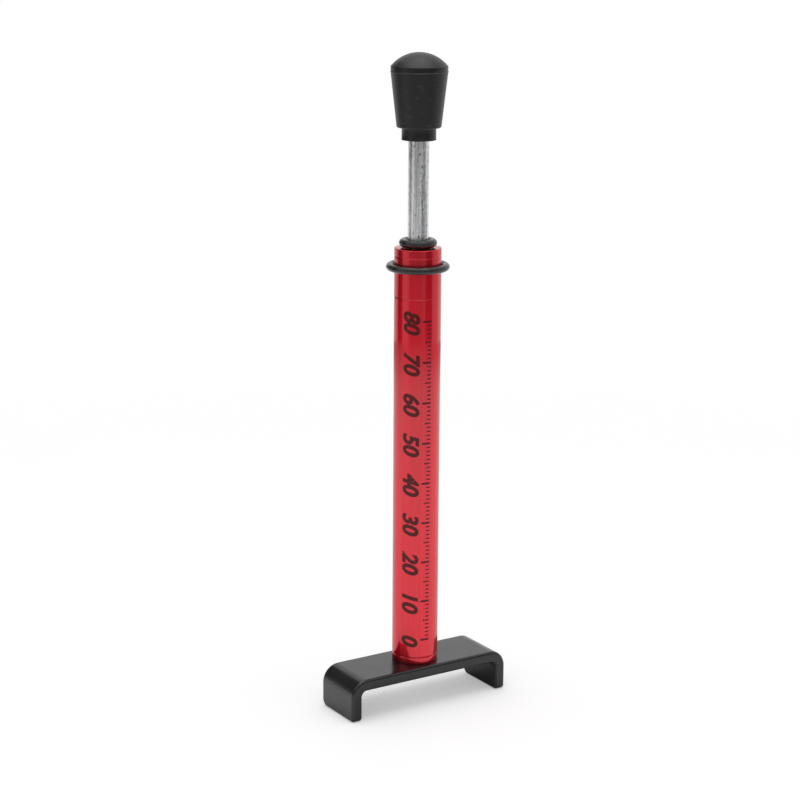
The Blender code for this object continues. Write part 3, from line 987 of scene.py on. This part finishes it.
@dataclass
class Scale:
    """Plain millimetre scale printed along the barrel, with a number every ten millimetres."""

    azimuth: float = math.radians(-32.0)
    zero_height: float = 17.0 * MM
    length: int = 80
    lift: float = 0.01 * MM
    ink_thickness: float = 0.02 * MM
    edge_offset: float = 3.5 * MM
    minor_tick: float = 1.0 * MM
    middle_tick: float = 1.6 * MM
    major_tick: float = 2.2 * MM
    minor_width: float = 0.3 * MM
    major_width: float = 0.5 * MM
    number_size: float = 5.4 * MM
    number_offset: float = -3.3 * MM
    number_weight: float = 0.2 * MM
    number_steps: int = 7
    slant: float = 0.25
    strip: float = 0.35 * MM

    def build(self, palette: Palette) -> None:
        """Draw the scale flat, wrap it round the barrel and dress it."""
        piece = self.draw_ticks()
        numbers = [self.draw_number(value) for value in range(0, self.length + 1, 10)]
        piece.join(numbers)
        self.wrap(piece)
        piece.modify("SOLIDIFY", thickness=self.ink_thickness, offset=1.0)
        piece.settle(palette, Body.BODY, Slot.RED_ANODISING, finish=palette.ink)

    def draw_ticks(self) -> Workpiece:
        """Draw the ticks flat: X runs round the barrel and Z up it.

        Returns:
            The ticks.
        """
        piece = None
        for step in range(self.length + 1):
            is_major = step % 10 == 0
            reach = self.major_tick if is_major else self.middle_tick if step % 5 == 0 else self.minor_tick
            width = self.major_width if is_major else self.minor_width
            place = (self.edge_offset - reach / 2, 0.0, self.zero_height + step * MM)
            bpy.ops.mesh.primitive_plane_add(size=1.0, location=place, rotation=(math.pi / 2, 0.0, 0.0))
            if piece is None:
                piece = Workpiece("barrel_scale")
                bpy.ops.object.mode_set(mode="EDIT")
                bpy.ops.mesh.select_all(action="SELECT")
            bpy.ops.transform.resize(value=(reach, 1.0, width), center_override=place)
        bpy.ops.object.mode_set(mode="OBJECT")
        return piece

    def draw_number(self, value: int) -> bpy.types.Object:
        """Draw one number flat, reading down the barrel, beside its tick.

        Args:
            value: The number.

        Returns:
            The number as a mesh.
        """
        bpy.ops.object.text_add()
        obj = bpy.context.active_object
        text = obj.data
        text.body = str(value)
        text.size = self.number_size
        text.shear = self.slant
        text.offset = self.number_weight
        text.align_x = "CENTER"
        text.fill_mode = "FRONT"
        text.resolution_u = self.number_steps
        bpy.ops.object.convert(target="MESH")
        obj = bpy.context.active_object
        height = self.zero_height + value * MM
        obj.matrix_world = Matrix(
            ((0, 1, 0, self.number_offset), (0, 0, -1, 0), (-1, 0, 0, height), (0, 0, 0, 1))
        )
        bpy.ops.object.transform_apply(location=True, rotation=True, scale=True)
        return obj

    def wrap(self, piece: Workpiece) -> None:
        """Cut the flat print into narrow strips and wrap it round the barrel.

        Args:
            piece: The flat print.
        """
        bpy.ops.object.mode_set(mode="EDIT")
        steps = math.ceil(2 * self.edge_offset / self.strip)
        for step in range(-steps // 2, steps // 2 + 1):
            bpy.ops.mesh.select_all(action="SELECT")
            bpy.ops.mesh.bisect(plane_co=(step * self.strip, 0.0, 0.0), plane_no=(1.0, 0.0, 0.0))
        bpy.ops.object.mode_set(mode="OBJECT")
        radius = Span.of("barrel").radius + self.lift
        for vert in piece.obj.data.vertices:
            angle = self.azimuth + vert.co.x / radius
            vert.co = (radius * math.sin(angle), -radius * math.cos(angle), vert.co.z)


@dataclass
class SpringPack:
    """What the barrel holds: spring, its screw, the follower and the clip."""

    wire: float = 0.9 * MM
    outer_radius: float = 4.175 * MM
    low: float = 32.2 * MM
    high: float = 92.1 * MM
    open_turns: int = 18
    close_turns: int = 1
    close_gap: float = 0.45 * MM
    wire_sides: int = 12
    turn_steps: int = 36
    stroke: float = 20.0 * MM
    boss: float = 2.975 * MM
    boss_height: float = 3.0 * MM
    follower_bore: float = 1.764 * MM
    clip_bore: float = 1.314 * MM
    clip_mouth: float = 1.6 * MM
    slot_width: float = 1.2 * MM
    slot_depth: float = 1.5 * MM
    edge: float = 0.2 * MM
    clip_edge: float = 0.06 * MM

    def build(self, palette: Palette) -> None:
        """Model the pieces and dress them."""
        spring = self.build_spring()
        spring.settle(palette, Body.BODY, Slot.SPRING_STEEL, "spring")
        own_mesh(spring.obj)
        self.build_screw().settle(palette, Body.BODY, Slot.BRASS, "calibration_screw")
        self.build_follower().settle(palette, Body.FOLLOWER, Slot.ACETAL, "spring_follower")
        self.build_clip().settle(palette, Body.PLUNGER, Slot.SPRING_STEEL, "retaining_clip")

    def build_screw(self) -> Workpiece:
        """Turn the slotted screw. The spring stands round the boss on its top.

        Returns:
            The screw.
        """
        span = Span.of("calibration_screw")
        shoulder = span.high - self.wire
        corners = [
            Corner(0.0, span.high),
            Corner(self.boss, span.high, self.edge),
            Corner(self.boss, shoulder),
            Corner(span.radius, shoulder, self.edge),
            Corner(span.radius, span.low, self.edge),
            Corner(0.0, span.low),
        ]
        piece = Workpiece.turned("preload_screw_turned", corners)
        slot_size = (3 * span.radius, self.slot_width, 2 * self.slot_depth)
        piece.cut(box_cutter("screw_slot", (0.0, 0.0, span.low), slot_size))
        return piece

    def build_follower(self) -> Workpiece:
        """Turn the piston that slides in the barrel, with its boss inside the spring.

        Returns:
            The follower.
        """
        span = Span.of("spring_follower")
        step = span.low + self.boss_height
        corners = [
            Corner(span.radius, span.high, self.edge),
            Corner(span.radius, step, self.edge),
            Corner(self.boss, step),
            Corner(self.boss, span.low, self.edge),
            Corner(self.follower_bore, span.low),
            Corner(self.follower_bore, span.high),
        ]
        return Workpiece.turned("follower_turned", corners, is_ring=True)

    def build_clip(self) -> Workpiece:
        """Turn the clip and cut its mouth.

        Returns:
            The clip.
        """
        low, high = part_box("retaining_clip")
        piece = sleeve("clip_stamped", Span(self.boss, low.z, high.z), self.clip_bore, self.clip_edge)
        centre = (self.boss, 0.0, (low.z + high.z) / 2)
        piece.cut(box_cutter("clip_mouth", centre, (2 * self.boss, self.clip_mouth, 2 * (high.z - low.z))))
        return piece

    def build_spring(self) -> Workpiece:
        """Wind the wire: open turns between close ones at both ends.

        Returns:
            The spring.
        """
        close_pitch = self.wire + self.close_gap
        open_rise = self.high - self.low - self.wire - 2 * self.close_turns * close_pitch
        close = (self.close_turns, close_pitch)
        height = self.low + self.wire / 2
        coils = []
        for turns, pitch in (close, (self.open_turns, open_rise / self.open_turns), close):
            bpy.ops.mesh.primitive_circle_add(
                vertices=self.wire_sides,
                radius=self.wire / 2,
                location=(self.outer_radius - self.wire / 2, 0.0, height),
                rotation=(math.pi / 2, 0.0, 0.0),
            )
            coil = Workpiece("spring_coil")
            coil.modify(
                "SCREW",
                angle=2 * math.pi,
                screw_offset=pitch,
                iterations=turns,
                steps=self.turn_steps,
                render_steps=self.turn_steps,
            )
            height += turns * pitch
            coils.append(coil)
        spring = coils[0]
        spring.join([coil.obj for coil in coils])
        bpy.ops.object.mode_set(mode="EDIT")
        bpy.ops.mesh.select_mode(type="EDGE")
        spring.close_seams()
        bpy.ops.mesh.fill_holes(sides=self.wire_sides)
        spring.close_seams()
        bpy.ops.object.mode_set(mode="OBJECT")
        return spring


@dataclass
class Plunger:
    """Rod, knob and the knob's threaded insert."""

    shank: float = 1.614 * MM
    groove_depth: float = 0.45 * MM
    stud_radius: float = 2.0 * MM
    stud_edge: float = 0.5 * MM
    rod_edge: float = 0.2 * MM
    tail: float = 1.2 * MM
    tail_edge: float = 0.3 * MM
    gap: float = 0.2 * MM
    band: float = 3.0 * MM
    waist_depth: float = 0.2 * MM
    foot_radius: float = 5.28 * MM
    neck_radius: float = 4.075 * MM
    neck_height: float = 2.9 * MM
    neck_flare: float = 0.08 * MM
    neck_edge: float = 0.1 * MM
    foot_edge: float = 0.3 * MM
    ridge: float = 0.15 * MM
    ridge_edge: float = 0.04 * MM
    dome_height: float = 2.9 * MM
    dome_steps: int = 24
    rim_height: float = 1.6 * MM
    rim_round: float = 0.6 * MM
    rim_edge: float = 0.12 * MM

    def build(self, palette: Palette) -> None:
        """Model the pieces and dress them."""
        self.build_rod().settle(palette, Body.PLUNGER, Slot.ZINC_PLATE, "plunger_rod")
        self.build_knob().settle(palette, Body.PLUNGER, Slot.BLACK_PLASTIC, "knob")
        self.build_insert().settle(palette, Body.PLUNGER, Slot.BRASS, "knob_insert")

    def build_insert(self) -> Workpiece:
        """Turn the threaded insert, with a waist between its two bands.

        Returns:
            The insert.
        """
        span = Span.of("knob_insert")
        bore = self.stud_radius + self.gap
        waist = span.radius - self.waist_depth
        corners = [
            Corner(span.radius, span.high, self.waist_depth),
            Corner(span.radius, span.high - self.band),
            Corner(waist, span.high - self.band - self.waist_depth),
            Corner(waist, span.low + self.band + self.waist_depth),
            Corner(span.radius, span.low + self.band),
            Corner(span.radius, span.low, self.waist_depth),
            Corner(bore, span.low),
            Corner(bore, span.high),
        ]
        return Workpiece.turned("insert_turned", corners, is_ring=True)

    def build_rod(self) -> Workpiece:
        """Turn the rod: stud at the top, grooved shank below.

        Returns:
            The rod.
        """
        span = Span.of("plunger_rod")
        knob = Span.of("knob")
        shoulder = Span.of("barrel_cap").low
        groove = self.shank - self.groove_depth
        groove_low = span.low + self.tail
        groove_high = Span.of("spring_follower").low
        corners = [
            Corner(0.0, span.high),
            Corner(self.stud_radius, span.high, self.stud_edge),
            Corner(self.stud_radius, knob.low),
            Corner(span.radius, knob.low, self.rod_edge, 2),
            Corner(span.radius, shoulder, self.rod_edge, 2),
            Corner(self.shank, shoulder),
            Corner(self.shank, groove_high),
            Corner(groove, groove_high),
            Corner(groove, groove_low),
            Corner(self.shank, groove_low),
            Corner(self.shank, span.low, self.tail_edge),
            Corner(0.0, span.low),
        ]
        return Workpiece.turned("rod_turned", corners)

    def build_knob(self) -> Workpiece:
        """Turn the knob: dome, rim, parting ridge, tapered side, neck and blind bore.

        Returns:
            The knob.
        """
        span = Span.of("knob")
        insert = Span.of("knob_insert")
        bore = insert.radius + self.gap
        side = span.radius - self.ridge
        dome_foot = span.high - self.dome_height
        ridge_height = dome_foot - self.rim_height
        shoulder = span.low + self.neck_height
        dome_edge = side - self.rim_round / 2
        dome_radius = (dome_edge**2 + self.dome_height**2) / (2 * self.dome_height)
        dome_end = 90 - math.degrees(math.asin(dome_edge / dome_radius))
        dome_centre = Corner(0.0, span.high - dome_radius)
        corners = arc(dome_centre, dome_radius, 90, dome_end, self.dome_steps)
        corners[0] = Corner(0.0, span.high)
        corners[-1] = Corner(dome_edge, dome_foot, self.rim_edge, 3)
        corners += [
            Corner(side, dome_foot - self.rim_round / 2, self.rim_edge, 3),
            Corner(side, ridge_height + self.ridge),
            Corner(span.radius, ridge_height, self.ridge_edge, 2),
            Corner(side, ridge_height - self.ridge),
            Corner(self.foot_radius, shoulder, self.foot_edge, 3),
            Corner(self.neck_radius, shoulder, self.neck_edge, 2),
            Corner(self.neck_radius, span.low + 4 * self.neck_flare),
            Corner(self.neck_radius + self.neck_flare, span.low + 2 * self.neck_flare),
            Corner(self.neck_radius + self.neck_flare, span.low, self.rim_edge, 2),
            Corner(bore, span.low),
            Corner(bore, insert.high + self.gap),
            Corner(0.0, insert.high + self.gap),
        ]
        return Workpiece.turned("knob_moulded", corners)


@dataclass
class MarkerRings:
    """The two O-rings that mark force and deflection."""

    flash: float = 0.03 * MM
    section_steps: int = 36

    def build(self, palette: Palette) -> None:
        """Model both rings and dress them."""
        rings = (
            ("force_ring_moulded", "force_o_ring", Body.FORCE_RING),
            ("deflection_ring_moulded", "deflection_o_ring", Body.DEFLECTION_RING),
        )
        for name, node, body in rings:
            self.build_ring(name, node).settle(palette, body, Slot.RUBBER, node)

    def build_ring(self, name: str, node: str) -> Workpiece:
        """Make a ring with a round section and raise the flash line round its outside.

        Args:
            name: The piece's name.
            node: The CAD node that it stands for.

        Returns:
            The ring.
        """
        span = Span.of(node)
        section = (span.high - span.low) / 2
        middle = (span.high + span.low) / 2
        outer = span.radius - self.flash
        bpy.ops.mesh.primitive_torus_add(
            major_segments=ROUND_STEPS,
            minor_segments=self.section_steps,
            major_radius=outer - section,
            minor_radius=section,
            location=(0.0, 0.0, middle),
        )
        piece = Workpiece(name)
        piece.select(Element.VERT, ring_at(outer, middle))
        share = span.radius / outer
        bpy.ops.transform.resize(value=(share, share, 1.0), center_override=(0.0, 0.0, middle))
        return piece


@dataclass(frozen=True)
class Card:
    """Grey card that stands round the table and shows as a band in gloss."""

    name: str
    start: float
    end: float
    level: float
    low: float = -250.0 * MM
    high: float = 500.0 * MM


@dataclass
class Studio:
    """Pale floor, soft light, white surroundings and the camera."""

    camera_azimuth: float = math.radians(-32.451)
    camera_elevation: float = math.radians(13.924)
    camera_roll: float = math.radians(0.363)
    camera_distance: float = 506.269 * MM
    aim: tuple[float, float, float] = (-4.8 * MM, 0.0, 77.162 * MM)
    lens: float = 94.51
    clip_start: float = 10.0 * MM
    floor_radius: float = 420.0 * MM
    floor_sides: int = 96
    melt_start: float = 0.3
    melt_end: float = 0.95
    fade_start: float = 0.75
    fade_end: float = 0.4
    floor_color: Color = (0.82, 0.82, 0.82)
    floor_glow: float = 0.34
    # Extra glow that the floor shows in reflections alone: painted reflection.
    floor_gloss: float = 0.53
    floor_paper: float = 0.65
    paper_grain: float = 30.0
    paper_shade: float = 0.98
    # The floor's glow in reflections is cut out under the gauge and lowered near it: painted shade.
    covered: float = 20.0 * MM
    near_share: float = 0.55
    near_gloss: float = 0.7
    world_level: float = 0.6
    card_distance: float = 900.0 * MM
    cards: tuple[Card, ...] = (
        Card("upper_left_card", -150.0, -95.0, 0.17, 120.0 * MM, 1100.0 * MM),
        Card("left_wing", -122.0, -110.0, 0.75, high=120.0 * MM),
        Card("left_card", -110.0, -79.0, 0.06),
        Card("left_glow", -79.0, -44.0, 0.72),
        Card("front_card", -44.0, 22.0, 0.27),
        Card("strip_card", 22.0, 38.0, 0.42),
        Card("right_card", 38.0, 75.0, 0.09),
        Card("right_wing", 75.0, 116.0, 0.7),
    )
    lamp_height: float = 700.0 * MM
    lamp_size: float = 500.0 * MM
    lamp_power: float = 1.4

    def build(self) -> None:
        """Set up floor, cards, lamp, surroundings and camera."""
        bpy.context.scene.view_settings.view_transform = "Standard"
        self.build_floor()
        for card in self.cards:
            self.build_card(card)
        self.build_lamp()
        self.build_surroundings()
        self.build_camera()
        LOG.info("studio: floor, %d cards, lamp and camera", len(self.cards))

    @staticmethod
    def is_seen(graph: Graph) -> tuple[bpy.types.NodeSocket, bpy.types.NodeSocket]:
        """Tell rays that see a thing from the light that falls on others.

        Args:
            graph: The tree that asks.

        Returns:
            A socket that is 1 for camera rays, and one for glossy and transmission rays.
        """
        path = graph.add("LightPath")
        shiny = graph.calc("MAXIMUM", path.outputs["Is Glossy Ray"], path.outputs["Is Transmission Ray"])
        return path.outputs["Is Camera Ray"], shiny

    def build_floor(self) -> None:
        """Lay a round pale floor that melts into the white surroundings at its edge. In reflections it glows
        brighter, a painted reflection, and this glow is held back under and near the gauge, a painted shade.
        """
        bpy.ops.mesh.primitive_circle_add(
            vertices=self.floor_sides, radius=self.floor_radius, fill_type="NGON"
        )
        floor = bpy.context.active_object
        floor.name = "floor"
        material = bpy.data.materials.new("floor")
        graph = bare_graph(material)
        direct, shiny = self.is_seen(graph)
        seen = graph.calc("ADD", direct, shiny)
        place = graph.add("TexCoord").outputs["Object"]
        radius = graph.add("VectorMath", {0: place}, operation="LENGTH").outputs["Value"]
        edge = graph.spread(radius, self.melt_start * self.floor_radius, self.melt_end * self.floor_radius)
        grain = graph.add("TexNoise", {"Vector": place, "Scale": self.paper_grain})
        low = tuple(value * self.paper_shade for value in self.floor_color)
        paper = graph.add("BsdfDiffuse", {"Color": graph.blend(grain.outputs[0], self.floor_color, low)})
        # Painted reflection and painted shade: glossy rays see the floor glow brighter, but not under the
        # gauge and less near it.
        painted_shade_under_gauge = graph.spread(radius, self.covered, 1.5 * self.covered)
        painted_shade_near_gauge = graph.spread(radius, self.covered, self.near_share * self.floor_radius, self.near_gloss)
        painted_reflection_glow = graph.calc("MULTIPLY", graph.calc("MULTIPLY", painted_shade_under_gauge, painted_shade_near_gauge), self.floor_gloss)
        # Only glossy and transmission rays see this painted reflection glow.
        gloss = graph.calc("MULTIPLY", shiny, painted_reflection_glow)
        level = graph.calc("MULTIPLY_ADD", direct, self.floor_glow, gloss)
        glow = graph.add("Emission", {"Strength": level})
        lit = graph.add("AddShader", {0: paper.outputs[0], 1: glow.outputs[0]})
        far = graph.spread(
            radius, self.fade_start * self.floor_radius, self.floor_radius, 1.0, self.fade_end
        )
        shine = graph.calc("MULTIPLY", far, self.floor_gloss + self.floor_paper)
        bright = graph.calc("MULTIPLY_ADD", shiny, shine, direct)
        white = graph.add("Emission", {"Strength": bright})
        melted = graph.add(
            "MixShader", {0: graph.calc("MULTIPLY", edge, seen), 1: lit.outputs[0], 2: white.outputs[0]}
        )
        below = graph.add("NewGeometry").outputs["Backfacing"]
        clear = graph.add("BsdfTransparent")
        surface = graph.add("MixShader", {0: below, 1: melted.outputs[0], 2: clear.outputs[0]})
        graph.add("OutputMaterial", {"Surface": surface.outputs[0]})
        floor.data.materials.append(material)

    def build_card(self, card: Card) -> None:
        """Stand a card round the table, out of the camera's sight and of the diffuse light.

        Args:
            card: Its directions from the gauge, in degrees from the camera's side, and its level.
        """
        middle = self.camera_azimuth + math.radians(card.start + card.end) / 2
        half_width = self.card_distance * math.tan(math.radians(card.end - card.start) / 2)
        place = (
            self.card_distance * math.sin(middle),
            -self.card_distance * math.cos(middle),
            (card.low + card.high) / 2,
        )
        bpy.ops.mesh.primitive_plane_add(size=1.0, location=place, rotation=(math.pi / 2, 0.0, middle))
        obj = bpy.context.active_object
        obj.name = card.name
        obj.scale = (2 * half_width, card.high - card.low, 1.0)
        obj.visible_camera = False
        obj.visible_diffuse = False
        material = bpy.data.materials.new(card.name)
        graph = bare_graph(material)
        light = graph.add("Emission", {"Strength": card.level})
        graph.add("OutputMaterial", {"Surface": light.outputs[0]})
        obj.data.materials.append(material)

    def build_lamp(self) -> None:
        """Hang one broad soft lamp over the table."""
        bpy.ops.object.light_add(type="AREA", location=(0.0, 0.0, self.lamp_height))
        lamp = bpy.context.active_object
        lamp.name = "overhead_lamp"
        lamp.data.shape = "SQUARE"
        lamp.data.size = self.lamp_size
        lamp.data.energy = self.lamp_power

    def build_surroundings(self) -> None:
        """Make the world white to the eye and in gloss, and plain soft light elsewhere."""
        world = bpy.data.worlds.new("surroundings")
        bpy.context.scene.world = world
        graph = bare_graph(world)
        direct, shiny = self.is_seen(graph)
        seen = graph.calc("ADD", direct, shiny)
        level = graph.spread(seen, 0.0, 1.0, self.world_level, 1.0)
        light = graph.add("Background", {"Color": (1.0, 1.0, 1.0, 1.0), "Strength": level})
        graph.add("OutputWorld", {"Surface": light.outputs[0]})

    def build_camera(self) -> None:
        """Set the camera at the photograph's angle and distance."""
        sin_a, cos_a = math.sin(self.camera_azimuth), math.cos(self.camera_azimuth)
        sin_e, cos_e = math.sin(self.camera_elevation), math.cos(self.camera_elevation)
        back = Vector((sin_a * cos_e, -cos_a * cos_e, sin_e))
        level = Vector((cos_a, sin_a, 0.0))
        upright = back.cross(level)
        right = level * math.cos(self.camera_roll) + upright * math.sin(self.camera_roll)
        up = upright * math.cos(self.camera_roll) - level * math.sin(self.camera_roll)
        turn = Matrix((right, up, back)).transposed()
        place = Vector(self.aim) + back * self.camera_distance
        bpy.ops.object.camera_add(location=place, rotation=turn.to_euler())
        camera = bpy.context.active_object
        camera.name = "camera"
        camera.data.lens = self.lens
        camera.data.clip_start = self.clip_start
        bpy.context.scene.camera = camera


def main() -> None:
    """Build the gauge, one sub-assembly after the other, and then the studio."""
    logging.basicConfig(level=logging.INFO, format="%(message)s")
    palette = Palette()
    for assembly in (BeltCradle(), Barrel(), Scale(), SpringPack(), Plunger(), MarkerRings()):
        assembly.build(palette)
        LOG.info("%s is done", type(assembly).__name__)
    Studio().build()
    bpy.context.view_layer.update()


if __name__ == "__main__":
    main()
